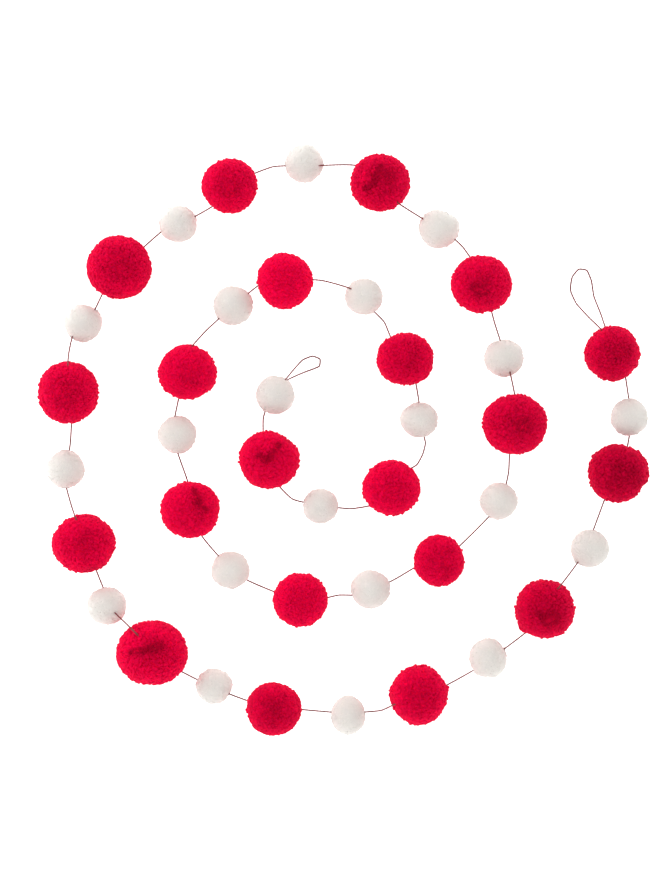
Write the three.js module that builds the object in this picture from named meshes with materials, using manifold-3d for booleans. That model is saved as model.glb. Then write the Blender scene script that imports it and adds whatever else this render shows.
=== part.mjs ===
// Pom-pom garland laid out flat in a loose spiral: 42 yarn pompoms, large red and small
// white by turns, threaded on one thin string that ends in a hanging loop at each end.
// Millimetres, +Z up, the floor at z = 0 and the origin under the middle of the spiral.
// Each pompom is a ball of cut yarn, roughened by its yarn ends, with a flat spot where
// it rests, a few locks that stand out of it and a channel where the string runs through.

import * as THREE from 'three';
import { mergeVertices } from 'three/addons/utils/BufferGeometryUtils.js';
import Module from 'manifold-3d';

const wasm = await Module();
wasm.setup();

// Driving dimensions
const stringDiameter = 1.5;
const stringSides = 8;
const channelDiameter = 2.5;
const channelSides = 6;
const heightShare = 0.97; // a resting pompom is a little lower than it is wide
const sinkShare = 0.93; // height of its middle, in vertical radii: under 1 leaves a flat spot
const flatSpot = 22; // half the angle that the flat spot spans, seen from the middle, in degrees
const lockRoot = 0.78; // where a lock's root lies inside the ball, in the ball's radii
const strayReach = 0.03; // how much further a stray tuft reaches than a lock, in radii
const lowestLock = -8; // elevations between which the locks stand, in degrees
const highestLock = 54;
const goldenTurn = 137.5; // degrees, spreads the locks evenly round a ball
const goldenShare = 0.618034;
const tuftShare = 0.4; // how many of a ball's points are raised as small tufts
const lumpWaves = { x: 4, y: 5, z: 4.5 }; // how closely the soft lumps follow each other
const triesPerLock = 4;
const clearOfString = 1.2; // gap left between a lock's widest part and the string's centre line
const seenFrom = 2228; // height of the eye straight above the spiral that its places were read from
const seenLevel = 28; // height at which those places are true, about that of the pompoms' rims
const seenMiddle = new THREE.Vector2(-13, 0); // the place straight under the eye

// The two kinds of pompom: how finely each ball is faceted, how far its surface wanders
// in soft lumps, how far its small tufts of yarn ends rise, and the locks and dents on it.
// Shares are of the ball's radii and a dent's spread is in radians.
const redYarn = {
  name: 'red',
  facets: 3,
  lump: 0.012,
  tuftHeight: 0.085,
  locks: 4,
  lockRadius: 9,
  lockReach: 1.1,
  dentDepth: 0.13,
  dentSpread: 0.3,
};
const whiteYarn = {
  name: 'white',
  facets: 2,
  lump: 0.012,
  tuftHeight: 0.06,
  locks: 3,
  lockRadius: 5.8,
  lockReach: 1.09,
  dentDepth: 0.14,
  dentSpread: 0.36,
};

const materials = {
  red: new THREE.MeshStandardMaterial({ color: '#d3062f', roughness: 0.95, metalness: 0 }),
  white: new THREE.MeshStandardMaterial({ color: '#ece6e0', roughness: 0.95, metalness: 0 }),
  string: new THREE.MeshStandardMaterial({ color: '#7d4c47', roughness: 0.8, metalness: 0 }),
};

// Where each pompom lies, from the outer end of the spiral to the inner one, its width
// along X and its depth along Y. The first is red and they take turns after it. A dent is
// a notch or a parting of the yarn and a tuft is a lock that sticks out further: each is
// [azimuth, elevation] in degrees, seen from the pompom's middle.
const pompoms = [
  { x: 269.3, y: 86.5, wide: 55.5, deep: 55 },
  { x: 286.2, y: 22.8, wide: 38, deep: 37.3 },
  { x: 275.2, y: -33, wide: 60.5, deep: 58, dent: [-30, 5], tuft: [-15, 0] },
  { x: 246.8, y: -108.3, wide: 38.5, deep: 38.5, tuft: [225, 5] },
  { x: 201.8, y: -169.3, wide: 58.5, deep: 58.5, dent: [-70, 66], tuft: [221, 0] },
  { x: 145.2, y: -217.6, wide: 38.3, deep: 40, dent: [40, 10], tuft: [235, 0] },
  { x: 75.7, y: -255, wide: 57.3, deep: 59, tuft: [14, 0] },
  { x: 5, y: -275.3, wide: 35.5, deep: 39.5 },
  { x: -69.2, y: -268.8, wide: 55, deep: 52.2 },
  { x: -128.7, y: -246, wide: 37.5, deep: 36, dent: [-20, 5] },
  { x: -191, y: -213, wide: 70, deep: 64, dent: [72, 70] },
  { x: -236.2, y: -165.8, wide: 39.5, deep: 38.5 },
  { x: -259.2, y: -103.8, wide: 62.5, deep: 58.5, dent: [-72, 15] },
  { x: -277.5, y: -29.3, wide: 39, deep: 38.5 },
  { x: -274.7, y: 47.5, wide: 60.6, deep: 61 },
  { x: -260, y: 117, wide: 38, deep: 38.5 },
  { x: -223.7, y: 172.5, wide: 63.5, deep: 63 },
  { x: -165, y: 216, wide: 38.5, deep: 37 },
  { x: -113.2, y: 254.2, wide: 55.5, deep: 54.5 },
  { x: -39, y: 276.4, wide: 39, deep: 38.3 },
  { x: 37, y: 257.2, wide: 60, deep: 57, dent: [27, 68] },
  { x: 96, y: 211.5, wide: 41, deep: 39, dent: [60, 10] },
  { x: 138.3, y: 155.7, wide: 60.5, deep: 57.5, dent: [-117, 72] },
  { x: 161, y: 82, wide: 39.5, deep: 37, tuft: [-88, 5] },
  { x: 171.8, y: 16, wide: 64.5, deep: 60, dent: [-8, 77] },
  { x: 155.7, y: -61, wide: 38.5, deep: 37 },
  { x: 96, y: -120.6, wide: 51.5, deep: 51.6 },
  { x: 27.5, y: -149.2, wide: 39.5, deep: 38.5 },
  { x: -42.7, y: -159.8, wide: 54.5, deep: 54.5 },
  { x: -112.5, y: -130, wide: 38, deep: 37, tuft: [-87, 5] },
  { x: -152.7, y: -69.5, wide: 59.5, deep: 57, dent: [27, 60] },
  { x: -165.7, y: 5.5, wide: 38.5, deep: 38 },
  { x: -155.7, y: 67.5, wide: 59.5, deep: 55 },
  { x: -110, y: 134.5, wide: 40, deep: 39 },
  { x: -58.2, y: 159.2, wide: 55.5, deep: 56.5 },
  { x: 21, y: 143.2, wide: 37.5, deep: 36.5 },
  { x: 62.3, y: 81, wide: 57.5, deep: 53 },
  { x: 76.2, y: 20.3, wide: 37.8, deep: 35 },
  { x: 48.5, y: -48, wide: 59, deep: 55.5 },
  { x: -22.5, y: -66, wide: 36, deep: 35 },
  { x: -74, y: -19.5, wide: 61, deep: 58, dent: [48, 8] },
  { x: -67.7, y: 45, wide: 38.5, deep: 39 },
];

// The string's route, from its outer end to its inner one. A pompom takes a point or two
// inside it, and a bowed stretch takes more between. Where the string comes out through
// the top of a pompom, the route rises to that pompom's surface.
const stringRoute = [
  // outer hanging loop, which starts and ends in pompom 1 and lies on the floor
  [262, 99, 27], [258, 110.5, 30], [246, 122.5, 15], [233, 137, 3],
  [227.4, 150, 0.8], [229.4, 163.3, 0.8], [236, 170.8, 0.8], [243.6, 169.8, 0.8],
  [248.3, 159.5, 0.8], [250.8, 144, 2], [257.8, 126, 12.5], [263.2, 110.5, 28],
  // pompoms 1 to 6
  [279.2, 79, 24], [288, 17, 17], [279.5, -27, 24], [265, -51, 23.5],
  [240.8, -113.4, 17], [214.7, -148.8, 41.5], [203.2, -159.4, 32], [187, -188.5, 23],
  [132.5, -229, 17.5],
  // pompoms 7 to 10
  [86, -254, 25], [56, -262.3, 40.5], [38, -270.4, 23], [3, -273, 17],
  [-85, -264.2, 22], [-130, -247.3, 16.8],
  // over the tops of pompoms 11 and 12
  [-186, -218, 28], [-196, -204, 44], [-206, -194.3, 53], [-217.5, -183, 41],
  [-228, -172.7, 32.5], [-234.5, -160.5, 18.5],
  // pompoms 13 to 16
  [-254.5, -111, 25], [-267, -79, 41], [-271, -67.5, 28], [-278, -40, 17.3],
  [-272.8, -4, 17.5], [-271, 32, 25], [-275.3, 73.5, 42.5], [-274.2, 87, 32],
  [-269.8, 105.5, 25.5], [-252, 123.5, 18.5],
  // pompoms 17 to 22
  [-233.5, 159.4, 26], [-178, 211, 18], [-151, 222, 18], [-122, 239, 22],
  [-94, 264, 22], [-70, 273.3, 18], [-24.5, 274.5, 27.5], [14, 274.3, 24],
  [55, 237, 36], [81, 220.5, 25.5], [109, 203.3, 19], [119.5, 193.3, 20.5],
  // pompoms 23 to 30
  [138, 166, 27], [151.5, 117.5, 18.5], [166.5, 69.8, 27.5], [174, 29, 26],
  [166.6, -15, 22.5], [165.6, -32, 17.5], [158.4, -62, 17], [107, -114, 21],
  [74, -126.3, 20.5], [53, -138.6, 17.3], [18, -155, 17.3], [-4, -155.1, 17.8],
  [-37.5, -162, 21], [-104.3, -135.4, 17],
  // pompoms 31 to 36
  [-144, -91.5, 22], [-155, -42.5, 22], [-170.5, 5, 17.3], [-150.7, 94, 33],
  [-137, 109.3, 25], [-107, 136.3, 18.5], [-77, 159.3, 23.5], [-21, 159.5, 19],
  [11, 149.8, 26.5], [29, 130.5, 18], [41, 118.3, 17.2],
  // pompoms 37 to 42
  [52.5, 91, 24], [71.5, 61.5, 21.5], [80.3, 6.5, 15.8], [82.4, -3, 14.3],
  [79.8, -14, 14], [74, -24.5, 15.8], [66, -29.5, 21.5], [30, -64.8, 21.5],
  [8, -68.7, 16], [-30, -64.3, 15.8], [-50.5, -59, 15.2], [-63.5, -46.5, 20],
  [-79.6, 3, 23], [-79.5, 23, 17.5], [-75, 36, 17.5],
  // inner hanging loop, which starts and ends in pompom 42 and lies on the floor
  [-57.5, 60.3, 23.5], [-49, 70.8, 10], [-40, 80.3, 1.5], [-30.5, 83.8, 0.8],
  [-23, 80.8, 0.8], [-23.5, 74, 0.8], [-37, 68.4, 1.2], [-47.5, 64, 9],
  [-57, 59, 19.5], [-60.5, 50.5, 24],
].map(([x, y, z]) => asSeen(x, y, z));

// The point at height z that is seen at this place from above.
function asSeen(x, y, z) {
  const spread = (seenFrom - z) / (seenFrom - seenLevel);
  const place = new THREE.Vector2(x, y).sub(seenMiddle).multiplyScalar(spread).add(seenMiddle);
  return new THREE.Vector3(place.x, place.y, z);
}

// A curve whose even steps fall exactly on the route's own points.
class PointedRoute extends THREE.Curve {
  constructor(points) {
    super();
    this.points = points;
  }

  getPointAt(share, target = new THREE.Vector3()) {
    const place = share * (this.points.length - 1);
    const before = Math.min(Math.floor(place), this.points.length - 2);
    return target.lerpVectors(this.points[before], this.points[before + 1], place - before);
  }

  getTangentAt(share, target = new THREE.Vector3()) {
    const last = this.points.length - 1;
    const nearest = Math.round(share * last);
    const here = this.points[nearest];
    const ahead = this.points[Math.min(nearest + 1, last)].clone().sub(here).normalize();
    const behind = here.clone().sub(this.points[Math.max(nearest - 1, 0)]).normalize();
    return target.addVectors(ahead, behind).normalize();
  }
}

// A closed tube along the string's route.
function tubeAlongRoute(diameter, sides) {
  const corners = Array.from({ length: sides }, (_, side) => {
    const angle = (2 * Math.PI * side) / sides;
    return new THREE.Vector2(Math.cos(angle), Math.sin(angle)).multiplyScalar(diameter / 2);
  });
  return new THREE.ExtrudeGeometry(new THREE.Shape(corners), {
    steps: stringRoute.length - 1,
    extrudePath: new PointedRoute(stringRoute),
  });
}

// Positions and faces only, with shared vertices.
function weld(geometry) {
  const bare = geometry.clone();
  bare.deleteAttribute('normal');
  bare.deleteAttribute('uv');
  return mergeVertices(bare);
}

function toSolid(geometry) {
  const welded = weld(geometry);
  const vertProperties = new Float32Array(welded.attributes.position.array);
  const triVerts = new Uint32Array(welded.index.array);
  return new wasm.Manifold(new wasm.Mesh({ numProp: 3, vertProperties, triVerts }));
}

function toGeometry(solid) {
  const { vertProperties, triVerts } = solid.getMesh();
  const geometry = new THREE.BufferGeometry();
  geometry.setAttribute('position', new THREE.BufferAttribute(new Float32Array(vertProperties), 3));
  geometry.setIndex(new THREE.BufferAttribute(new Uint32Array(triVerts), 1));
  geometry.computeVertexNormals();
  return geometry;
}

function direction([azimuth, elevation]) {
  const turn = THREE.MathUtils.degToRad(azimuth);
  const rise = THREE.MathUtils.degToRad(elevation);
  const level = Math.cos(rise);
  return new THREE.Vector3(level * Math.cos(turn), level * Math.sin(turn), Math.sin(rise));
}

// Radii and middle of a resting pompom.
function measure(row) {
  const upright = (heightShare * (row.wide + row.deep)) / 4;
  const radii = new THREE.Vector3(row.wide / 2, row.deep / 2, upright);
  const middle = asSeen(row.x, row.y, upright * sinkShare);
  return { radii, middle };
}

// The ball of cut yarn ends, flat where it meets the floor.
function yarnBall(row, yarn, number) {
  const { radii, middle } = measure(row);
  const ball = weld(new THREE.IcosahedronGeometry(1, yarn.facets));
  const places = ball.attributes.position;
  const point = new THREE.Vector3();
  const hollow = row.dent ? direction(row.dent) : null;
  for (let index = 0; index < places.count; index += 1) {
    point.fromBufferAttribute(places, index);
    const pressed = point.z < -Math.cos(THREE.MathUtils.degToRad(flatSpot));
    const waves = Math.sin(lumpWaves.x * point.x + number)
      + Math.sin(lumpWaves.y * point.y + 2 * number)
      + Math.sin(lumpWaves.z * point.z + 3 * number);
    const raised = ((index + number) * goldenShare) % 1 < tuftShare;
    let reach = 1 + yarn.lump * waves + yarn.tuftHeight * (raised ? 0.5 : -0.5);
    if (hollow) reach -= yarn.dentDepth * Math.exp(-((point.angleTo(hollow) / yarn.dentSpread) ** 2));
    point.multiplyScalar(reach).multiply(radii).add(middle);
    places.setXYZ(index, point.x, point.y, pressed ? 0 : Math.max(point.z, 0));
  }
  return toSolid(ball);
}

// Distance from a point to the string's route.
function distanceToString(point) {
  const stretch = new THREE.Line3();
  const nearest = new THREE.Vector3();
  let least = Infinity;
  for (let index = 1; index < stringRoute.length; index += 1) {
    stretch.set(stringRoute[index - 1], stringRoute[index]);
    stretch.closestPointToPoint(point, true, nearest);
    least = Math.min(least, nearest.distanceTo(point));
  }
  return least;
}

// Where a lock stands, from its root inside the ball to its tip.
function lockLine(row, heading, reach) {
  const { radii, middle } = measure(row);
  const root = heading.clone().multiplyScalar(lockRoot).multiply(radii).add(middle);
  const tip = heading.clone().multiplyScalar(reach).multiply(radii).add(middle);
  return { root, tip };
}

// A three-sided lock of yarn that tapers outwards.
function lockOfYarn({ root, tip }, radius) {
  const along = tip.clone().sub(root);
  const spike = new THREE.ConeGeometry(radius, along.length(), 3);
  spike.translate(0, along.length() / 2, 0);
  const upright = new THREE.Vector3(0, 1, 0);
  spike.applyQuaternion(new THREE.Quaternion().setFromUnitVectors(upright, along.normalize()));
  spike.translate(root.x, root.y, root.z);
  return toSolid(spike);
}

// Locks spread round the upper part of the ball, each clear of the string, after the
// stray tuft of that pompom, if it has one.
function locksOn(row, yarn, number) {
  const lines = row.tuft ? [lockLine(row, direction(row.tuft), yarn.lockReach + strayReach)] : [];
  for (let turn = 0; lines.length < yarn.locks && turn < triesPerLock * yarn.locks; turn += 1) {
    const rise = (turn * goldenShare) % 1;
    const elevation = lowestLock + (highestLock - lowestLock) * rise;
    const line = lockLine(row, direction([goldenTurn * (turn + number), elevation]), yarn.lockReach);
    const clearance = Math.min(distanceToString(line.root), distanceToString(line.tip));
    if (clearance > clearOfString + yarn.lockRadius) lines.push(line);
  }
  return lines.map((line) => lockOfYarn(line, yarn.lockRadius));
}

const garland = new THREE.Group();

const string = new THREE.Mesh(tubeAlongRoute(stringDiameter, stringSides), materials.string);
string.name = 'string';
garland.add(string);

const channel = toSolid(tubeAlongRoute(channelDiameter, channelSides));
pompoms.forEach((row, index) => {
  const number = index + 1;
  const yarn = index % 2 === 0 ? redYarn : whiteYarn;
  const locks = locksOn(row, yarn, number);
  const solid = locks.reduce((ball, lock) => ball.add(lock), yarnBall(row, yarn, number));
  const pompom = new THREE.Mesh(toGeometry(solid.subtract(channel)), materials[yarn.name]);
  pompom.name = `pompom_${String(number).padStart(2, '0')}_${yarn.name}`;
  garland.add(pompom);
});

export default garland;
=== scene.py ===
# Pom-pom garland: 21 large red and 21 small white yarn pompoms by turns on one thin string,
# laid out flat in a loose spiral with a hanging loop at each end. Metres, +Z up.
import math

import bmesh
import bpy
import numpy as np
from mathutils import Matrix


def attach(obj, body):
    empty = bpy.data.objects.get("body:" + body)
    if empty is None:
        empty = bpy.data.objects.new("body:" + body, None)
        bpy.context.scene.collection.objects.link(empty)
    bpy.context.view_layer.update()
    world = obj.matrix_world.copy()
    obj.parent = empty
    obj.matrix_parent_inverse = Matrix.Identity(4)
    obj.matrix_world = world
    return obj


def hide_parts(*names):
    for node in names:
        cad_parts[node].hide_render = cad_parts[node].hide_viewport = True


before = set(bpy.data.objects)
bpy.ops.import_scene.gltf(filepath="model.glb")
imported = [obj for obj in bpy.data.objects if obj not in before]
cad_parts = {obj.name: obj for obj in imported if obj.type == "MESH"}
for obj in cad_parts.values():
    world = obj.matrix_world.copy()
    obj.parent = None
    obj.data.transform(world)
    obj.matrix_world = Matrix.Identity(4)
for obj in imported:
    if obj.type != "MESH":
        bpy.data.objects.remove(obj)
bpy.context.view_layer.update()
scene = bpy.context.scene
mm = 0.001

# The camera looks straight down on the spiral
cameraPlan = {
    "aim": (-0.013, 0.0, 0.028),  # the middle of the picture, at the height of the pompoms' rims
    "rise": 2.2,
    "lens": 90.0,
    "sensor": 36.0,
    "sees": (0.05, 50.0),  # from how near to how far, in metres
}

cameraData = bpy.data.cameras.new("camera_above")
cameraData.lens = cameraPlan["lens"]
cameraData.sensor_width = cameraPlan["sensor"]
cameraData.clip_start, cameraData.clip_end = cameraPlan["sees"]
cameraObject = bpy.data.objects.new("camera_above", cameraData)
aimX, aimY, aimZ = cameraPlan["aim"]
cameraObject.location = (aimX, aimY, aimZ + cameraPlan["rise"])
scene.collection.objects.link(cameraObject)
scene.camera = cameraObject
print("camera placed")


class Wire:  # one node output, so that sums and products on it add their Math nodes
    def __init__(self, paint, socket):
        self.paint = paint
        self.socket = socket

    def reckon(self, operation, first, second):
        return self.paint.node("ShaderNodeMath", {"operation": operation}, {0: first, 1: second})

    def __add__(self, other):
        return self.reckon("ADD", self, other)

    def __radd__(self, other):
        return self.reckon("ADD", other, self)

    def __sub__(self, other):
        return self.reckon("SUBTRACT", self, other)

    def __rsub__(self, other):
        return self.reckon("SUBTRACT", other, self)

    def __mul__(self, other):
        return self.reckon("MULTIPLY", self, other)

    def __rmul__(self, other):
        return self.reckon("MULTIPLY", other, self)


class Paint:  # the nodes of a material or of the world
    def __init__(self, holder):
        self.holder = holder
        holder.use_nodes = True
        self.tree = holder.node_tree
        self.tree.nodes.clear()

    def node(self, kind, settings=None, sockets=None, output=0):
        made = self.tree.nodes.new(kind)
        for key, value in (settings or {}).items():
            setattr(made, key, value)
        for key, value in (sockets or {}).items():
            if isinstance(value, Wire):
                self.tree.links.new(value.socket, made.inputs[key])
            else:
                made.inputs[key].default_value = value
        return None if output is None else Wire(self, made.outputs[output])

    def blend(self, share, first, second, mode="MIX"):  # a Mix node's colours are 6, 7 and 2
        settings = {"data_type": "RGBA", "blend_type": mode, "clamp_factor": True}
        return self.node("ShaderNodeMix", settings, {0: share, 6: first, 7: second}, 2)

    def reading(self, name):  # a number kept in the mesh
        return self.node("ShaderNodeAttribute", {"attribute_name": name}, output="Fac")

    def noise(self, place, scale, detail, roughness=0.5):  # scale in waves a metre
        sockets = {"Vector": place, "Scale": scale, "Detail": detail, "Roughness": roughness}
        return self.node("ShaderNodeTexNoise", None, sockets, "Fac")

    def spot(self):  # a point's own place, in metres
        return self.node("ShaderNodeTexCoord", output="Object")

    def bump(self, strength, distance, height):
        sockets = {"Strength": strength, "Distance": distance, "Height": height}
        return self.node("ShaderNodeBump", None, sockets)

    def finish(self, sockets, settings=None):
        surface = self.node("ShaderNodeBsdfPrincipled", settings, sockets, "BSDF")
        self.node("ShaderNodeOutputMaterial", None, {"Surface": surface}, None)
        return self.holder


def newPaint(name):
    return Paint(bpy.data.materials.new(name))


def rgb(red, green, blue):
    return (red, green, blue, 1.0)


stringPlan = {
    "diameter": 1.5,  # mm, as are the pitch and the step
    "pitch": 7.0,  # length in which the two plies turn round each other once
    "step": 1.25,  # between the rings of the tube
    "sides": 9,
    "roundness": 0.6,  # how widely the line bends at a point of its route
    "lobe": 0.1,  # how far the plies stand out, in radii
    "slimming": 0.2,  # how far both are drawn in, as a share of that
    "dark": rgb(0.07, 0.006, 0.007),
    "light": rgb(0.26, 0.035, 0.033),
    "grooveShade": 0.3,  # what lightens the string, and how far; its darker grooves between the plies are painted shade
    "fleckTone": 0.5,
    "slowTone": 0.35,
    "toneDrop": 0.1,
    "fleckScale": 900.0,
    "slowScale": 60.0,
    "grooveHeight": 0.4,  # beside the flecks, whose height is 1
    "bump": 0.5,
    "bumpDepth": 0.2,  # mm
    "rough": 0.75,
    "roughFleck": 0.2,
    "sheen": 0.2,
    "sheenSpread": 0.5,
}

# The route in millimetres, from the outer end of the spiral to the inner one. X and Y are
# where the photo shows it, and Z is its height.
stringRoute = [
    # outer hanging loop, which starts and ends in pompom 1 and lies on the floor
    (262, 99, 27), (258, 110.5, 30), (246, 122.5, 15), (233, 137, 3),
    (227.4, 150, 0.8), (229.4, 163.3, 0.8), (236, 170.8, 0.8), (243.6, 169.8, 0.8),
    (248.3, 159.5, 0.8), (250.8, 144, 2), (257.8, 126, 12.5), (263.2, 110.5, 28),
    # pompoms 1 to 6
    (279.2, 79, 24), (288, 17, 17), (279.5, -27, 24), (265, -51, 23.5),
    (240.8, -113.4, 17), (214.7, -148.8, 41.5), (203.2, -159.4, 32), (187, -188.5, 23),
    (132.5, -229, 17.5),
    # pompoms 7 to 10
    (86, -254, 25), (56, -262.3, 40.5), (38, -270.4, 23), (3, -273, 17),
    (-85, -264.2, 22), (-130, -247.3, 16.8),
    # over the tops of pompoms 11 and 12
    (-186, -218, 28), (-196, -204, 44), (-206, -194.3, 53), (-217.5, -183, 41),
    (-228, -172.7, 32.5), (-234.5, -160.5, 18.5),
    # pompoms 13 to 16
    (-254.5, -111, 25), (-267, -79, 41), (-271, -67.5, 28), (-278, -40, 17.3),
    (-272.8, -4, 17.5), (-271, 32, 25), (-275.3, 73.5, 42.5), (-274.2, 87, 32),
    (-269.8, 105.5, 25.5), (-252, 123.5, 18.5),
    # pompoms 17 to 22
    (-233.5, 159.4, 26), (-178, 211, 18), (-151, 222, 18), (-122, 239, 22),
    (-94, 264, 22), (-70, 273.3, 18), (-24.5, 274.5, 27.5), (14, 274.3, 24),
    (55, 237, 36), (81, 220.5, 25.5), (109, 203.3, 19), (119.5, 193.3, 20.5),
    # pompoms 23 to 30
    (138, 166, 27), (151.5, 117.5, 18.5), (166.5, 69.8, 27.5), (174, 29, 26),
    (166.6, -15, 22.5), (165.6, -32, 17.5), (158.4, -62, 17), (107, -114, 21),
    (74, -126.3, 20.5), (53, -138.6, 17.3), (18, -155, 17.3), (-4, -155.1, 17.8),
    (-37.5, -162, 21), (-104.3, -135.4, 17),
    # pompoms 31 to 36
    (-144, -91.5, 22), (-155, -42.5, 22), (-170.5, 5, 17.3), (-150.7, 94, 33),
    (-137, 109.3, 25), (-107, 136.3, 18.5), (-77, 159.3, 23.5), (-21, 159.5, 19),
    (11, 149.8, 26.5), (29, 130.5, 18), (41, 118.3, 17.2),
    # pompoms 37 to 42
    (52.5, 91, 24), (71.5, 61.5, 21.5), (80.3, 6.5, 15.8), (82.4, -3, 14.3),
    (79.8, -14, 14), (74, -24.5, 15.8), (66, -29.5, 21.5), (30, -64.8, 21.5),
    (8, -68.7, 16), (-30, -64.3, 15.8), (-50.5, -59, 15.2), (-63.5, -46.5, 20),
    (-79.6, 3, 23), (-79.5, 23, 17.5), (-75, 36, 17.5),
    # inner hanging loop, which starts and ends in pompom 42 and lies on the floor
    (-57.5, 60.3, 23.5), (-49, 70.8, 10), (-40, 80.3, 1.5), (-30.5, 83.8, 0.8),
    (-23, 80.8, 0.8), (-23.5, 74, 0.8), (-37, 68.4, 1.2), (-47.5, 64, 9),
    (-57, 59, 19.5), (-60.5, 50.5, 24),
]


# Points that the camera above sees at these places, in millimetres, moved to where they
# really lie at their own heights
def asSeen(points):
    points = np.array(points, float)
    middle = np.array(cameraPlan["aim"]) / mm
    spread = 1 + (middle[2] - points[..., 2:]) * mm / cameraPlan["rise"]
    points[..., :2] = middle[:2] + (points[..., :2] - middle[:2]) * spread
    return points * mm


def unit(vectors):
    return vectors / np.maximum(np.linalg.norm(vectors, axis=-1, keepdims=True), 1e-9)


# A smooth line through the route's points, with its own points about a step apart. It bends
# near each of them, so that a long stretch is nearly straight.
def smoothLine(points, step, roundness):
    chord = np.linalg.norm(np.diff(points, axis=0), axis=1)
    at = np.concatenate([[0.0], np.cumsum(chord)])
    reach = np.minimum(np.append(chord, chord[-1]), np.insert(chord, 0, chord[0]))
    slope = np.gradient(points, at, axis=0) * roundness * reach[:, None]
    pieces = []
    for index, span in enumerate(chord):
        share = np.linspace(0, 1, max(2, math.ceil(span / step) + 1))[:-1, None]
        square, cube = share**2, share**3
        pieces.append(
            (2 * cube - 3 * square + 1) * points[index]
            + (cube - 2 * square + share) * slope[index]
            + (3 * square - 2 * cube) * points[index + 1]
            + (cube - square) * slope[index + 1]
        )
    return np.vstack([*pieces, points[-1:]])


# Two directions across the line at each of its points, carried along without twist
def carriedFrames(line):
    ahead = unit(np.gradient(line, axis=0))
    side = np.cross(ahead[0], (0.0, 0.0, 1.0))
    sides = []
    for along in ahead:
        side = unit(side - along * (side @ along))
        sides.append(side)
    sides = np.array(sides)
    return sides, np.cross(ahead, sides)


def addMesh(name, points, corners, smooth=True):
    mesh = bpy.data.meshes.new(name)
    mesh.vertices.add(len(points))
    mesh.vertices.foreach_set("co", points.astype(np.float32).ravel())
    mesh.loops.add(corners.size)
    mesh.loops.foreach_set("vertex_index", corners.astype(np.int32).ravel())
    mesh.polygons.add(len(corners))
    starts = np.arange(0, corners.size, corners.shape[1], dtype=np.int32)
    mesh.polygons.foreach_set("loop_start", starts)
    mesh.polygons.foreach_set("use_smooth", np.full(len(corners), smooth))
    mesh.update(calc_edges=True)
    thing = bpy.data.objects.new(name, mesh)
    scene.collection.objects.link(thing)
    return thing


def keepNumbers(thing, name, numbers):
    attribute = thing.data.attributes.new(name, "FLOAT", "POINT")
    attribute.data.foreach_set("value", np.asarray(numbers, np.float32))


# Faces of a tube from rings of the same number of points
def ringFaces(rings, sides):
    here = np.arange(sides)
    beside = (here + 1) % sides
    first = np.stack([here, beside, beside + sides, here + sides], axis=1)
    return (np.arange(rings - 1)[:, None, None] * sides + first).reshape(-1, 4)


def paintString():
    plan = stringPlan
    paint = newPaint("twisted string")
    place = paint.spot()
    groove = paint.reading("groove")
    fleck = paint.noise(place, plan["fleckScale"], detail=3.0)
    slow = paint.noise(place, plan["slowScale"], detail=2.0)
    # painted shade: darker in the grooves between the plies; the flecks and slow changes are
    # random
    tone = groove * plan["grooveShade"] + fleck * plan["fleckTone"] + slow * plan["slowTone"]
    height = groove * plan["grooveHeight"] + fleck
    return paint.finish({
        "Base Color": paint.blend(tone - plan["toneDrop"], plan["dark"], plan["light"]),
        "Roughness": plan["rough"] + fleck * plan["roughFleck"],
        "Normal": paint.bump(plan["bump"], plan["bumpDepth"] * mm, height),
        "Sheen Weight": plan["sheen"],
        "Sheen Roughness": plan["sheenSpread"],
    })


def makeString():
    plan = stringPlan
    line = smoothLine(asSeen(stringRoute), plan["step"] * mm, plan["roundness"])
    run = np.concatenate([[0.0], np.cumsum(np.linalg.norm(np.diff(line, axis=0), axis=1))])
    acrossOne, acrossTwo = carriedFrames(line)
    sides = plan["sides"]
    angle = np.arange(sides) * 2 * math.pi / sides
    twist = run[:, None] * 2 * math.pi / (plan["pitch"] * mm)
    ridge = np.cos(2 * (angle[None, :] - twist))
    reach = plan["diameter"] * mm / 2 * (1 + plan["lobe"] * (ridge - plan["slimming"]))
    points = (
        line[:, None, :]
        + (reach * np.cos(angle))[..., None] * acrossOne[:, None, :]
        + (reach * np.sin(angle))[..., None] * acrossTwo[:, None, :]
    )
    points[..., 2] = np.maximum(points[..., 2], 0.0)  # it lies on the floor
    ends = [np.arange(sides)[::-1], np.arange(sides) + (len(line) - 1) * sides]
    faces = [*ringFaces(len(line), sides).tolist(), *(end.tolist() for end in ends)]
    mesh = bpy.data.meshes.new("string_twisted")
    mesh.from_pydata(points.reshape(-1, 3).tolist(), [], faces)
    mesh.polygons.foreach_set("use_smooth", np.full(len(faces), True))
    thing = bpy.data.objects.new("string_twisted", mesh)
    scene.collection.objects.link(thing)
    keepNumbers(thing, "groove", (ridge * 0.5 + 0.5).ravel())
    mesh.materials.append(paintString())
    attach(thing, "root")
    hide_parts("string")
    print("string made,", round(float(run[-1]), 3), "m long,", len(line), "rings")
    return line


stringLine = makeString()
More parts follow.
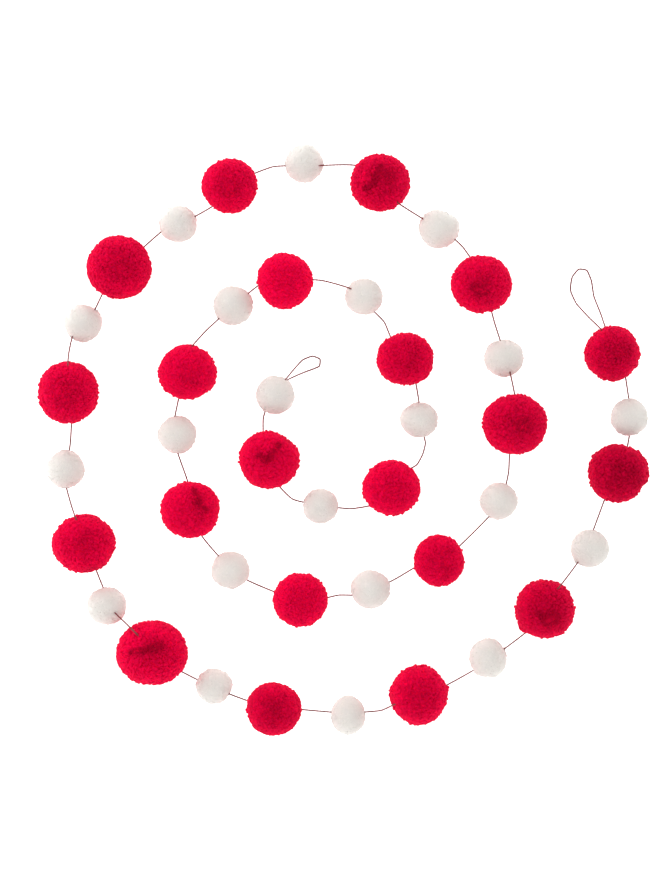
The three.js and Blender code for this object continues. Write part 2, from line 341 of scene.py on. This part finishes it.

# Where each lies in millimetres, its width along X and its depth along Y, large red and
# small white by turns from the outer end. Shade is how much lighter than the rest it is. A
# dent is a notch in the yarn, a tuft is a lock that sticks out, part is a line from which the
# yarn ends lean away, and a crease is a sunken line between them. Dents, partings and
# creases are darkened with painted shade. Each place is (azimuth, elevation) in degrees,
# seen from the pompom's middle.
pompoms = [
    {"x": 269.3, "y": 86.5, "wide": 55.5, "deep": 55, "shade": -0.5, "part": [(-8, 68)]},
    {"x": 286.2, "y": 22.8, "wide": 38, "deep": 37.3, "shade": -0.6},
    {"x": 275.2, "y": -33, "wide": 60.5, "deep": 58, "shade": -0.9, "dent": (-30, 5),
     "tuft": (-15, 0), "part": [(-11, 74)]},
    {"x": 246.8, "y": -108.3, "wide": 38.5, "deep": 38.5, "shade": -0.7, "tuft": (225, 5)},
    {"x": 201.8, "y": -169.3, "wide": 58.5, "deep": 58.5, "shade": -0.5, "dent": (-70, 66),
     "tuft": (221, 0), "crease": [(-167, 74), (-90, 65), (-24, 68)], "part": [(-70, 66)]},
    {"x": 145.2, "y": -217.6, "wide": 38.3, "deep": 40, "shade": -0.3, "dent": (40, 10),
     "tuft": (235, 0)},
    {"x": 75.7, "y": -255, "wide": 57.3, "deep": 59, "tuft": (14, 0), "part": [(10, 74)]},
    {"x": 5, "y": -275.3, "wide": 35.5, "deep": 39.5},
    {"x": -69.2, "y": -268.8, "wide": 55, "deep": 52.2, "shade": -0.3, "part": [(-80, 80)]},
    {"x": -128.7, "y": -246, "wide": 37.5, "deep": 36, "dent": (-20, 5)},
    {"x": -191, "y": -213, "wide": 70, "deep": 64, "shade": 0.2, "dent": (72, 70),
     "crease": [(170, 55), (118, 76), (43, 61)], "part": [(115, 66), (38, 62)]},
    {"x": -236.2, "y": -165.8, "wide": 39.5, "deep": 38.5},
    {"x": -259.2, "y": -103.8, "wide": 62.5, "deep": 58.5, "shade": 0.1, "dent": (-72, 15),
     "part": [(32, 77)]},
    {"x": -277.5, "y": -29.3, "wide": 39, "deep": 38.5},
    {"x": -274.7, "y": 47.5, "wide": 60.6, "deep": 61, "part": [(-85, 82)]},
    {"x": -260, "y": 117, "wide": 38, "deep": 38.5},
    {"x": -223.7, "y": 172.5, "wide": 63.5, "deep": 63, "shade": -0.1, "part": [(60, 84)]},
    {"x": -165, "y": 216, "wide": 38.5, "deep": 37},
    {"x": -113.2, "y": 254.2, "wide": 55.5, "deep": 54.5, "part": [(-90, 75)]},
    {"x": -39, "y": 276.4, "wide": 39, "deep": 38.3},
    {"x": 37, "y": 257.2, "wide": 60, "deep": 57, "shade": -0.3, "dent": (27, 68),
     "crease": [(87, 59), (117, 77), (-149, 68), (-149, 55)], "part": [(27, 68)]},
    {"x": 96, "y": 211.5, "wide": 41, "deep": 39, "dent": (60, 10)},
    {"x": 138.3, "y": 155.7, "wide": 60.5, "deep": 57.5, "dent": (-117, 72),
     "crease": [(-150, 66), (-110, 70), (-75, 66)], "part": [(-117, 72)]},
    {"x": 161, "y": 82, "wide": 39.5, "deep": 37, "tuft": (-88, 5)},
    {"x": 171.8, "y": 16, "wide": 64.5, "deep": 60, "shade": -0.2, "dent": (-8, 77),
     "part": [(-8, 77)]},
    {"x": 155.7, "y": -61, "wide": 38.5, "deep": 37},
    {"x": 96, "y": -120.6, "wide": 51.5, "deep": 51.6, "part": [(0, 75)]},
    {"x": 27.5, "y": -149.2, "wide": 39.5, "deep": 38.5},
    {"x": -42.7, "y": -159.8, "wide": 54.5, "deep": 54.5, "shade": 0.3, "part": [(-10, 72)]},
    {"x": -112.5, "y": -130, "wide": 38, "deep": 37, "tuft": (-87, 5)},
    {"x": -152.7, "y": -69.5, "wide": 59.5, "deep": 57, "shade": 0.3, "dent": (27, 60),
     "crease": [(78, 41), (49, 60), (3, 53)], "part": [(59, 54), (-8, 52)]},
    {"x": -165.7, "y": 5.5, "wide": 38.5, "deep": 38},
    {"x": -155.7, "y": 67.5, "wide": 59.5, "deep": 55, "shade": 0.3, "part": [(-10, 65)]},
    {"x": -110, "y": 134.5, "wide": 40, "deep": 39},
    {"x": -58.2, "y": 159.2, "wide": 55.5, "deep": 56.5, "shade": 0.6, "part": [(-60, 70)]},
    {"x": 21, "y": 143.2, "wide": 37.5, "deep": 36.5},
    {"x": 62.3, "y": 81, "wide": 57.5, "deep": 53, "shade": -0.1, "part": [(90, 72)]},
    {"x": 76.2, "y": 20.3, "wide": 37.8, "deep": 35},
    {"x": 48.5, "y": -48, "wide": 59, "deep": 55.5, "shade": 0.3, "part": [(-43, 70)]},
    {"x": -22.5, "y": -66, "wide": 36, "deep": 35},
    {"x": -74, "y": -19.5, "wide": 61, "deep": 58, "shade": 0.2, "dent": (48, 8),
     "crease": [(161, 69), (-138, 85), (56, 70), (56, 49)], "part": [(48, 20), (77, 78)]},
    {"x": -67.7, "y": 45, "wide": 38.5, "deep": 39},
]

# What both kinds share. Lengths are in the ball's radii where no unit is given.
ballPlan = {
    "seed": 4200,
    "heightShare": 0.97,  # a resting pompom is a little lower than it is wide
    "sinkShare": 0.93,  # height of its middle, in vertical radii
    "flatSpot": 22.0,  # half the angle that its flat spot spans, in degrees
    "lumpWaves": (4.0, 5.0, 4.5),
    "lowest": -0.8,  # no yarn ends below this, where the ball is pressed on the floor
    "fromFloor": 0.4,  # mm, how far off the floor the lowest yarn ends may stop
    "endScatter": 0.3,  # how far the ends are off their even places, in spacings
    "clumpScatter": 0.9,
    "shortest": 0.7,
    "longest": 1.045,
    "tuftLonger": 0.07,
    "girths": (0.85, 1.15),  # thinnest and thickest yarn ends, in the usual width
    "leans": (0.5, 1.2),  # weakest and strongest lean, in the usual one
    "parted": 0.3,  # how far a parting opens
    "foldDepth": 0.035,  # how deep a crease is
    "foldSteps": 12,  # points along each stretch of a crease or parting
    "borderWidth": 0.25,  # of the gap between two clumps, in clumps
    "stringGap": 1.3,  # mm from the string within which the yarn ends are pushed down
    "stringReach": 50.0,  # mm from the middle within which the string is looked for
    "pushed": 0.035,
    "coreFold": 0.04,
    "coreFineness": 3,
}

# What makes a yarn end lighter or darker, from 0 to 1: random spreads, each row's shade, and
# painted shade
tonePlan = {
    "middle": 0.5,
    "endSpread": 0.05,
    "clumpSpread": 0.12,
    "shade": 0.3,  # what a row's shade counts for
    # painted shade deep in a parting
    "parted": 0.6,
    # painted shade in a crease
    "creaseShade": 0.8,
    # painted shade: the inner yarn that shows in the gaps has a lower tone than the ends
    "core": 0.1,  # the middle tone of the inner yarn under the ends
    "least": 0.17,
}

# The flat layout of a pompom's faces, one small cell for each yarn end and, above them, one
# for each face of the core
layoutPlan = {
    "name": "OFBake",
    "endsTop": 0.88,
    "margin": 0.04,
    "coreMargin": 0.08,
}

# Each ring of a yarn end, from its root to just under its tip, has how far out it is, how
# wide in the end's widths, how far its shading turns from sideways to outwards, and the
# depth that the material reads, 0 at the root and 1 at the tip
redYarn = {
    "name": "red",
    "spacing": 2.75,  # mm from one yarn end to the next
    "sides": 4,
    "width": 1.8,  # mm, half the width of a yarn end at its widest
    "rings": [(0.8, 0.85, 0.0, 0.0), (0.95, 1.0, 0.5, 0.6), (0.987, 0.8, 0.9, 0.9)],
    "core": 0.945,
    "clumps": 380,
    "borderShade": 0.2,  # painted shade: how much darker the yarn is between two clumps
    "gather": 0.05,  # how far the ends of a clump draw together
    "tilt": 0.017,  # how far each end is turned aside at random, in radians
    "lean": 0.05,  # how far the ends lean away from a parting, in radians
    "leanStart": 0.25,
    "leanSpread": 0.65,
    "partDepth": 0.03,
    "partSpread": 0.3,
    "foldSpread": 0.09,  # half the width of a crease, in radians
    "lump": 0.012,
    "ragged": 0.017,  # how unevenly the yarn is trimmed
    "evenTop": 0.65,  # how much more evenly on top
    "clumpRagged": 0.008,
    "strays": 0.1,  # share of the ends that stick out further
    "strayReach": 0.035,
    "uprightShade": 0.32,  # painted shade: how much darker the ends that stand upright are, on top of the ball
    "dentDepth": 0.13,
    "dentSpread": 0.3,
    "hollow": 0.3,  # painted shade: how much darker the yarn is in a dent
    "tuftReach": 0.09,
    "tuftSpread": 0.16,
    # painted light: the roots are lighter than the ends, to offset the shade in the gaps
    "litRootColour": rgb(1.0, 0.0, 0.055),
    "endColour": rgb(0.735, 0.0003, 0.048),
    "darkest": rgb(0.3, 0.28, 0.28),  # what the lowest and the highest tone multiply it by
    "lightest": rgb(1.5, 1.52, 1.52),
    "fuzzColour": rgb(1.0, 0.004, 0.065),
    "fuzzShare": 0.2,
    "fuzzScale": 1400.0,
    "slowScale": 90.0,
    "slowTone": 0.2,
    "bump": 0.3,
    "bumpDepth": 0.4,  # mm
    "rough": 0.8,
    "roughFuzz": 0.2,
    "sheen": 1.0,
    "sheenSpread": 0.45,
    "sheenTint": rgb(1.0, 0.05, 0.11),
    "gloss": 0.0,
    "glow": 0.3,  # share of the light that goes into the yarn and comes out beside
    "glowColours": (1.0, 0.1, 0.2),
    "glowReach": 2.0,  # mm
}

whiteYarn = {
    "name": "white",
    "spacing": 2.5,
    "sides": 4,
    "width": 1.75,
    "rings": [(0.86, 0.9, 0.0, 0.0), (0.962, 1.0, 0.5, 0.6), (0.99, 0.78, 0.9, 0.9)],
    "core": 0.95,
    "clumps": 200,
    "borderShade": 0.15,
    "gather": 0.06,
    "tilt": 0.03,
    "lean": 0.05,
    "leanStart": 0.25,
    "leanSpread": 0.6,
    "partDepth": 0.0,
    "partSpread": 0.3,
    "foldSpread": 0.1,
    "lump": 0.012,
    "ragged": 0.014,
    "evenTop": 0.75,
    "clumpRagged": 0.006,
    "strays": 0.07,
    "strayReach": 0.035,
    "uprightShade": 0.25,
    "dentDepth": 0.14,
    "dentSpread": 0.36,
    "hollow": 0.1,
    "tuftReach": 0.1,
    "tuftSpread": 0.2,
    # painted light: the roots are lighter than the ends, to offset the shade in the gaps
    "litRootColour": rgb(0.705, 0.676, 0.646),
    "endColour": rgb(0.637, 0.616, 0.592),
    "darkest": rgb(0.93, 0.93, 0.93),
    "lightest": rgb(1.05, 1.05, 1.05),
    "warmColour": rgb(0.66, 0.63, 0.585),
    "warmShare": 0.5,
    "fuzzScale": 1700.0,
    "slowScale": 45.0,
    "bump": 0.2,
    "bumpDepth": 0.3,
    "rough": 0.85,
    "roughFuzz": 0.15,
    "sheen": 0.35,
    "sheenSpread": 0.4,
    "sheenTint": rgb(1.0, 1.0, 1.0),
    "gloss": 0.1,
    "glow": 0.5,
    "glowColours": (1.0, 0.97, 0.94),
    "glowReach": 3.0,
}


# The direction from a pompom's middle to a place given as (azimuth, elevation)
def heading(place):
    turn, rise = (math.radians(angle) for angle in place)
    level = math.cos(rise)
    return np.array([level * math.cos(turn), level * math.sin(turn), math.sin(rise)])


# Radii and middle of a resting pompom, in metres
def measure(row):
    wide, deep = row["wide"] / 2, row["deep"] / 2
    upright = ballPlan["heightShare"] * (wide + deep) / 2
    radii = np.array([wide, deep, upright]) * mm
    middle = asSeen([row["x"], row["y"], upright * ballPlan["sinkShare"]])
    return radii, middle


# Directions spread evenly over a sphere, each a little off its place at random
def evenDirections(count, wobble, rng):
    index = np.arange(count)
    rise = 1 - (2 * index + 1) / count
    turn = index * math.pi * (1 + math.sqrt(5))  # by the golden section
    level = np.sqrt(1 - rise**2)
    even = np.stack([level * np.cos(turn), level * np.sin(turn), rise], axis=1)
    return unit(even + rng.normal(0, wobble, even.shape))


def bell(angle, spread):
    return np.exp(-((angle / spread) ** 2))


# 1 at a place on the ball, and less and less further away
def bellRound(place, directions, spread):
    angle = np.arccos(np.clip(directions @ heading(place), -1, 1))
    return bell(angle, spread)


# How far the ball reaches in each direction, before its yarn ends differ
def ballReach(row, yarn, directions, number):
    waves = sum(
        np.sin(wave * directions[:, axis] + (axis + 1) * number)
        for axis, wave in enumerate(ballPlan["lumpWaves"])
    )
    reach = 1 + yarn["lump"] * waves
    if "dent" in row:
        reach -= yarn["dentDepth"] * bellRound(row["dent"], directions, yarn["dentSpread"])
    if "tuft" in row:
        reach += yarn["tuftReach"] * bellRound(row["tuft"], directions, yarn["tuftSpread"])
    return reach


# For each direction, the nearest one on the line over the ball from place to place
def nearestOn(places, directions):
    corners = [heading(place) for place in places]
    share = np.linspace(0, 1, ballPlan["foldSteps"])[:, None]
    runs = [(1 - share) * start + share * end for start, end in zip(corners, corners[1:])]
    line = unit(np.concatenate(runs or [corners]))
    return line[np.argmax(directions @ line.T, axis=1)]


# How deep in a crease each direction is
def foldAt(row, yarn, directions):
    if "crease" not in row:
        return np.zeros(len(directions))
    angle = np.linalg.norm(directions - nearestOn(row["crease"], directions), axis=1)
    return bell(angle, yarn["foldSpread"])


# How near to the border between two clumps each direction is
def borderAt(clumpOut, directions):
    closest = np.partition(directions @ clumpOut.T, -2, axis=1)[:, -2:]
    second, first = np.arccos(np.clip(closest, -1, 1)).T
    clumpAngle = math.sqrt(4 * math.pi / len(clumpOut))
    return bell(second - first, ballPlan["borderWidth"] * clumpAngle)


def distanceToString(points):
    fromMiddle = np.linalg.norm(stringLine - points.mean(axis=0), axis=1)
    near = stringLine[fromMiddle < ballPlan["stringReach"] * mm]
    return np.sqrt(((points[:, None, :] - near[None, :, :]) ** 2).sum(axis=2)).min(axis=1)


# Triangles of one yarn end: rings from its root outwards, then the tip
def endFaces(rings, sides):
    here = np.arange(sides)
    beside = (here + 1) % sides
    faces = []
    for ring in range(rings - 1):
        low, high = ring * sides, (ring + 1) * sides
        faces.append(np.stack([here + low, beside + low, beside + high], axis=1))
        faces.append(np.stack([here + low, beside + high, here + high], axis=1))
    last = (rings - 1) * sides
    faces.append(np.stack([here + last, beside + last, np.full(sides, rings * sides)], axis=1))
    return np.concatenate(faces)


# Where those triangles' corners lie in a yarn end's own cell of the flat layout
def endLayout(rings, sides):
    margin = layoutPlan["margin"]
    inside = 1 - 2 * margin
    here = np.arange(sides)
    left = (here + margin) / sides
    right = (here + 1 - margin) / sides
    levels = [np.full(sides, margin + inside * ring / rings) for ring in range(rings + 1)]
    places = []
    for low, high in zip(levels[:-2], levels[1:-1]):
        places.append([left, low, right, low, right, high])
        places.append([left, low, right, high, left, high])
    places.append([left, levels[-2], right, levels[-2], (left + right) / 2, levels[-1]])
    return np.concatenate([np.stack(place, axis=1) for place in places]).reshape(-1, 3, 2)


# The lower corner of each of count cells in a band of the layout, and the size of a cell
def layoutCells(count, low, high):
    columns = math.ceil(math.sqrt(count / (high - low)))
    rows = math.ceil(count / columns)
    size = np.array([1 / columns, (high - low) / rows])
    index = np.arange(count)
    across, up = index % columns / columns, low + index // columns * (high - low) / rows
    return np.stack([across, up], axis=1), size


# Gives every face of a pompom its place in the flat layout
def layFlat(thing, yarn, count, coreCount):
    endsTop, margin = layoutPlan["endsTop"], layoutPlan["coreMargin"]
    corner, size = layoutCells(count, 0.0, endsTop)
    oneEnd = endLayout(len(yarn["rings"]), yarn["sides"])
    endPlaces = corner[:, None, None, :] + oneEnd[None] * size
    corner, size = layoutCells(coreCount, endsTop, 1.0)
    triangle = np.array([(margin, margin), (1 - margin, margin), (0.5, 1 - margin)])
    corePlaces = corner[:, None, :] + triangle[None] * size
    flat = np.concatenate([endPlaces.reshape(-1, 2), corePlaces.reshape(-1, 2)])
    layout = thing.data.uv_layers.new(name=layoutPlan["name"])
    layout.uv.foreach_set("vector", flat.astype(np.float32).ravel())


# The inner yarn under the ends, which shows only in the gaps
def coreBall(row, yarn, number, radii, middle):
    shape = bmesh.new()
    bmesh.ops.create_icosphere(shape, subdivisions=ballPlan["coreFineness"], radius=1.0)
    directions = unit(np.array([vert.co for vert in shape.verts]))
    corners = np.array([[vert.index for vert in face.verts] for face in shape.faces])
    shape.free()
    reach = ballReach(row, yarn, directions, number) * yarn["core"]
    reach -= ballPlan["coreFold"] * foldAt(row, yarn, directions)
    points = directions * reach[:, None] * radii + middle
    pressed = directions[:, 2] < -math.cos(math.radians(ballPlan["flatSpot"]))
    points[:, 2] = np.where(pressed, 0.0, np.maximum(points[:, 2], 0.0))
    return points, corners


# Where the yarn ends of a pompom stand: the direction of each root and each tip, how far out
# the tip is and how wide the yarn is parted there, with the clumps that draw them together
def growEnds(row, yarn, number, radii, middle, rng):
    count = round(4 * math.pi * (radii.mean() / mm / yarn["spacing"]) ** 2)
    out = evenDirections(count, ballPlan["endScatter"] / math.sqrt(count), rng)
    out = out[out[:, 2] > ballPlan["lowest"]]
    count = len(out)

    clumps = yarn["clumps"]
    clumpOut = evenDirections(clumps, ballPlan["clumpScatter"] / math.sqrt(clumps), rng)
    clump = np.argmax(out @ clumpOut.T, axis=1)
    clumpReach = rng.normal(0, yarn["clumpRagged"], clumps)[clump]
    clumpShade = rng.uniform(0, 1, clumps)[clump]
    clumpTilt = rng.normal(0, yarn["tilt"], (clumps, 3))[clump]
    tip = out + yarn["gather"] * (clumpOut[clump] - out) + clumpTilt
    tip += rng.normal(0, yarn["tilt"], out.shape)

    reach = ballReach(row, yarn, out, number) + clumpReach
    unevenness = 1 - yarn["evenTop"] * out[:, 2].clip(0) ** 2
    reach += rng.normal(0, yarn["ragged"], count) * unevenness
    reach += yarn["strayReach"] * (rng.uniform(0, 1, count) < yarn["strays"]) * unevenness
    longest = ballPlan["longest"] + (ballPlan["tuftLonger"] if "tuft" in row else 0)
    reach = np.clip(reach, ballPlan["shortest"], longest)

    parted = np.zeros(count)
    if "part" in row:
        away = out - nearestOn(row["part"], out)
        angle = np.linalg.norm(away, axis=1)
        leaning = (bell(angle, yarn["leanSpread"]) - bell(angle, yarn["leanStart"])).clip(0)
        leaning = yarn["lean"] * leaning * rng.uniform(*ballPlan["leans"], count)
        tip += leaning[:, None] * unit(away)
        parted = ballPlan["parted"] * bell(angle, yarn["partSpread"])
        reach -= yarn["partDepth"] * parted
    reach -= ballPlan["foldDepth"] * foldAt(row, yarn, out)
    tip = unit(tip)

    # the string lies in the yarn and holds it down
    gap = distanceToString(tip * reach[:, None] * radii + middle)
    reach = reach - ballPlan["pushed"] * (gap < ballPlan["stringGap"] * mm)
    return {
        "out": out, "tip": tip, "reach": reach[:, None], "parted": parted,
        "clumpOut": clumpOut, "clumpShade": clumpShade,
    }


# The points of every yarn end, ring by ring and then its tip, and which way each is shaded
def shapeEnds(grown, yarn, radii, middle, rng):
    out, tip, reach = grown["out"], grown["tip"], grown["reach"]
    count, sides = len(out), yarn["sides"]
    spin = rng.uniform(0, 2 * math.pi, count)
    width = yarn["width"] * mm * rng.uniform(*ballPlan["girths"], count)
    sideways = unit(np.cross(out, rng.normal(0, 1, out.shape)))
    upwards = np.cross(out, sideways)
    turn = (spin[:, None] + np.arange(sides) * 2 * math.pi / sides)[..., None]
    around = np.cos(turn) * sideways[:, None, :] + np.sin(turn) * upwards[:, None, :]

    first = yarn["rings"][0][0]
    rings, facing = [], []
    for share, girth, turned, _ in yarn["rings"]:
        bend = (share - first) / (1 - first)
        along = unit((1 - bend) * out + bend * tip) * share
        if share > first:
            along = along * reach
        middles = (along * radii + middle)[:, None, :]
        rings.append(middles + around * (girth * width)[:, None, None])
        facing.append((1 - turned) * around + turned * tip[:, None, :])
    rings.append((tip * reach * radii + middle)[:, None, :])
    facing.append(tip[:, None, :])
    points = np.concatenate(rings, axis=1)
    lowest = rng.uniform(0, ballPlan["fromFloor"], count) * mm
    points[..., 2] = np.maximum(points[..., 2], lowest[:, None])
    return points, unit(np.concatenate(facing, axis=1))


# How light each point of the yarn ends is, with painted shade on the upright ends, in
# partings, creases and dents, and between clumps
def toneEnds(row, grown, yarn, points, depth, radii, middle, rng):
    count = len(points)
    tone = tonePlan["endSpread"] * rng.uniform(-1, 1, count)
    tone += tonePlan["clumpSpread"] * (grown["clumpShade"] - 0.5)
    tone += tonePlan["middle"] + tonePlan["shade"] * row.get("shade", 0.0)
    # painted shade: the ends that stand upright, on top of the ball, are darker
    tone -= yarn["uprightShade"] * grown["out"][:, 2].clip(0) ** 2
    # painted shade: deeper down in a parting the yarn is darker
    tone = tone[:, None] - tonePlan["parted"] * grown["parted"][:, None] * (1 - depth)
    outward = unit((points - middle) / radii).reshape(-1, 3)
    # painted shade in a crease
    paintedShade = tonePlan["creaseShade"] * foldAt(row, yarn, outward)
    # painted shade between two clumps
    paintedShade += yarn["borderShade"] * borderAt(grown["clumpOut"], outward)
    # painted shade in a dent
    if "dent" in row:
        paintedShade += yarn["hollow"] * bellRound(row["dent"], outward, yarn["dentSpread"])
    return tone - paintedShade.reshape(tone.shape)


def makePompom(row, yarn, number, material):
    rng = np.random.default_rng(ballPlan["seed"] + number)
    radii, middle = measure(row)
    grown = growEnds(row, yarn, number, radii, middle, rng)
    ends, facing = shapeEnds(grown, yarn, radii, middle, rng)
    count, perEnd = ends.shape[:2]
    oneEnd = endFaces(len(yarn["rings"]), yarn["sides"])
    endCorners = (oneEnd[None] + np.arange(count)[:, None, None] * perEnd).reshape(-1, 3)
    corePoints, coreCorners = coreBall(row, yarn, number, radii, middle)
    points = np.concatenate([ends.reshape(-1, 3), corePoints])
    corners = np.concatenate([endCorners, coreCorners + count * perEnd])
    thing = addMesh(f"yarn_{number:02d}_{yarn['name']}", points, corners)

    # the fuzz of the ends scatters light, so they are shaded softly round the whole ball
    coreOut = unit((corePoints - middle) / radii)
    facing = np.concatenate([facing.reshape(-1, 3), coreOut])
    thing.data.normals_split_custom_set_from_vertices(facing.tolist())

    # numbers that the yarn's material reads: how far out, and how light, painted shade included
    depth = np.append(np.repeat([ring[3] for ring in yarn["rings"]], yarn["sides"]), 1.0)
    tone = toneEnds(row, grown, yarn, ends, depth, radii, middle, rng)
    # painted shade: the inner yarn that shows in the gaps gets a low tone, lower still in a
    # crease
    coreTone = tonePlan["core"] + tonePlan["shade"] * row.get("shade", 0.0)
    tone = np.concatenate([tone.ravel(), coreTone - foldAt(row, yarn, coreOut)])
    least = tonePlan["least"]
    keepNumbers(thing, "depth", np.append(np.tile(depth, count), np.zeros(len(corePoints))))
    keepNumbers(thing, "tone", np.clip(least + (1 - least) * tone, 0, 1))
    layFlat(thing, yarn, count, len(coreCorners))

    thing.data.materials.append(material)
    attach(thing, "root")
    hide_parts(f"pompom_{number:02d}_{yarn['name']}")
    return len(corners)


# The soft surface that both kinds of yarn have
def finishYarn(paint, plan, colour, fuzz):
    return paint.finish({
        "Base Color": colour,
        "Roughness": plan["rough"] + fuzz * plan["roughFuzz"],
        "Normal": paint.bump(plan["bump"], plan["bumpDepth"] * mm, fuzz),
        "Sheen Weight": plan["sheen"],
        "Sheen Roughness": plan["sheenSpread"],
        "Sheen Tint": plan["sheenTint"],
        "Specular IOR Level": plan["gloss"],
        "Subsurface Weight": plan["glow"],
        "Subsurface Radius": plan["glowColours"],
        "Subsurface Scale": plan["glowReach"] * mm,
    }, {"subsurface_method": "BURLEY"})


# A stronger red towards the roots, lighter there as painted light against the shade in the
# gaps, darker with painted shade in the creases, with lighter fuzz on it
def paintRed():
    plan = redYarn
    paint = newPaint("red yarn")
    place = paint.spot()
    fuzz = paint.noise(place, plan["fuzzScale"], detail=3.0, roughness=0.6)
    slow = paint.noise(place, plan["slowScale"], detail=2.0)
    tone = paint.reading("tone") + slow * plan["slowTone"] - plan["slowTone"] / 2
    # painted light: lighter towards the roots, to offset the shade in the gaps
    body = paint.blend(paint.reading("depth"), plan["litRootColour"], plan["endColour"])
    # the tone carries painted shade: upright ends, partings, creases, dents, clump borders
    shade = paint.blend(tone, plan["darkest"], plan["lightest"])
    dyed = paint.blend(1.0, body, shade, "MULTIPLY")
    colour = paint.blend(fuzz * plan["fuzzShare"], dyed, plan["fuzzColour"])
    return finishYarn(paint, plan, colour, fuzz)


# Nearly even, with slow changes towards a warmer white, and lighter towards the roots as
# painted light against the shade in the gaps
def paintWhite():
    plan = whiteYarn
    paint = newPaint("white yarn")
    place = paint.spot()
    fuzz = paint.noise(place, plan["fuzzScale"], detail=3.0, roughness=0.6)
    slow = paint.noise(place, plan["slowScale"], detail=2.0)
    # painted light: lighter towards the roots, to offset the shade in the gaps
    body = paint.blend(paint.reading("depth"), plan["litRootColour"], plan["endColour"])
    warm = paint.blend(slow * plan["warmShare"], body, plan["warmColour"])
    # the tone carries painted shade: upright ends, partings, creases, dents, clump borders
    shade = paint.blend(paint.reading("tone"), plan["darkest"], plan["lightest"])
    return finishYarn(paint, plan, paint.blend(1.0, warm, shade, "MULTIPLY"), fuzz)


finishes = {"red": paintRed(), "white": paintWhite()}
total = 0
for number, row in enumerate(pompoms, start=1):
    yarn = redYarn if number % 2 else whiteYarn
    total += makePompom(row, yarn, number, finishes[yarn["name"]])
print("pompoms made,", len(pompoms), "with", total, "triangles")

stagePlan = {
    "half": 6.0,  # half the floor's width
    "drop": 0.0003,  # how far the floor is under the pompoms
    "colour": rgb(0.93, 0.93, 0.93),
    "rough": 0.9,
    "glow": 0.9,
    "horizon": 0.95,  # how strong the light is from level and from straight above
    "zenith": 0.74,
}


def makeStage():
    plan = stagePlan
    half = plan["half"]
    corners = np.array([(-half, -half), (half, -half), (half, half), (-half, half)])
    points = np.column_stack([corners, np.full(4, -plan["drop"])])
    floor = addMesh("floor", points, np.array([[0, 1, 2, 3]]), False)
    paint = newPaint("pale floor")
    floor.data.materials.append(paint.finish({
        "Base Color": plan["colour"],
        "Roughness": plan["rough"],
        "Emission Color": rgb(1.0, 1.0, 1.0),
        "Emission Strength": plan["glow"],
    }))

    world = bpy.data.worlds.new("soft studio")
    sky = Paint(world)
    ahead = sky.node("ShaderNodeTexCoord", output="Generated")
    height = sky.node("ShaderNodeSeparateXYZ", None, {0: ahead}, "Z")
    share = sky.node("ShaderNodeMath", {"operation": "ABSOLUTE"}, {0: height})
    horizon, zenith = plan["horizon"], plan["zenith"]
    strength = horizon - share * (horizon - zenith)
    sockets = {"Color": rgb(1.0, 1.0, 1.0), "Strength": strength}
    light = sky.node("ShaderNodeBackground", None, sockets)
    sky.node("ShaderNodeOutputWorld", None, {"Surface": light}, None)
    scene.world = world


# Large lamps at these places, all aimed at the middle of the spiral
lamps = [
    {"name": "key_left", "at": (-2.6, 0.7, 1.2), "size": 2.5, "power": 33.0},
    {"name": "fill_lower", "at": (-0.6, -4.2, 1.7), "size": 4.0, "power": 62.0},
    {"name": "fill_upper", "at": (-0.8, 4.2, 1.7), "size": 4.0, "power": 66.0},
    {"name": "fill_right", "at": (4.2, 0.0, 1.7), "size": 4.0, "power": 38.0},
]


def makeLamps():
    for plan in lamps:
        data = bpy.data.lights.new(plan["name"], "AREA")
        data.size = plan["size"]
        data.energy = plan["power"]
        lamp = bpy.data.objects.new(plan["name"], data)
        lamp.location = plan["at"]
        x, y, z = plan["at"]
        lamp.rotation_euler = (math.atan2(math.hypot(x, y), z), 0, math.atan2(y, x) + math.pi / 2)
        scene.collection.objects.link(lamp)


makeStage()
makeLamps()
scene.view_settings.view_transform = "Standard"
scene.view_settings.look = "None"
print("stage and lamps set")
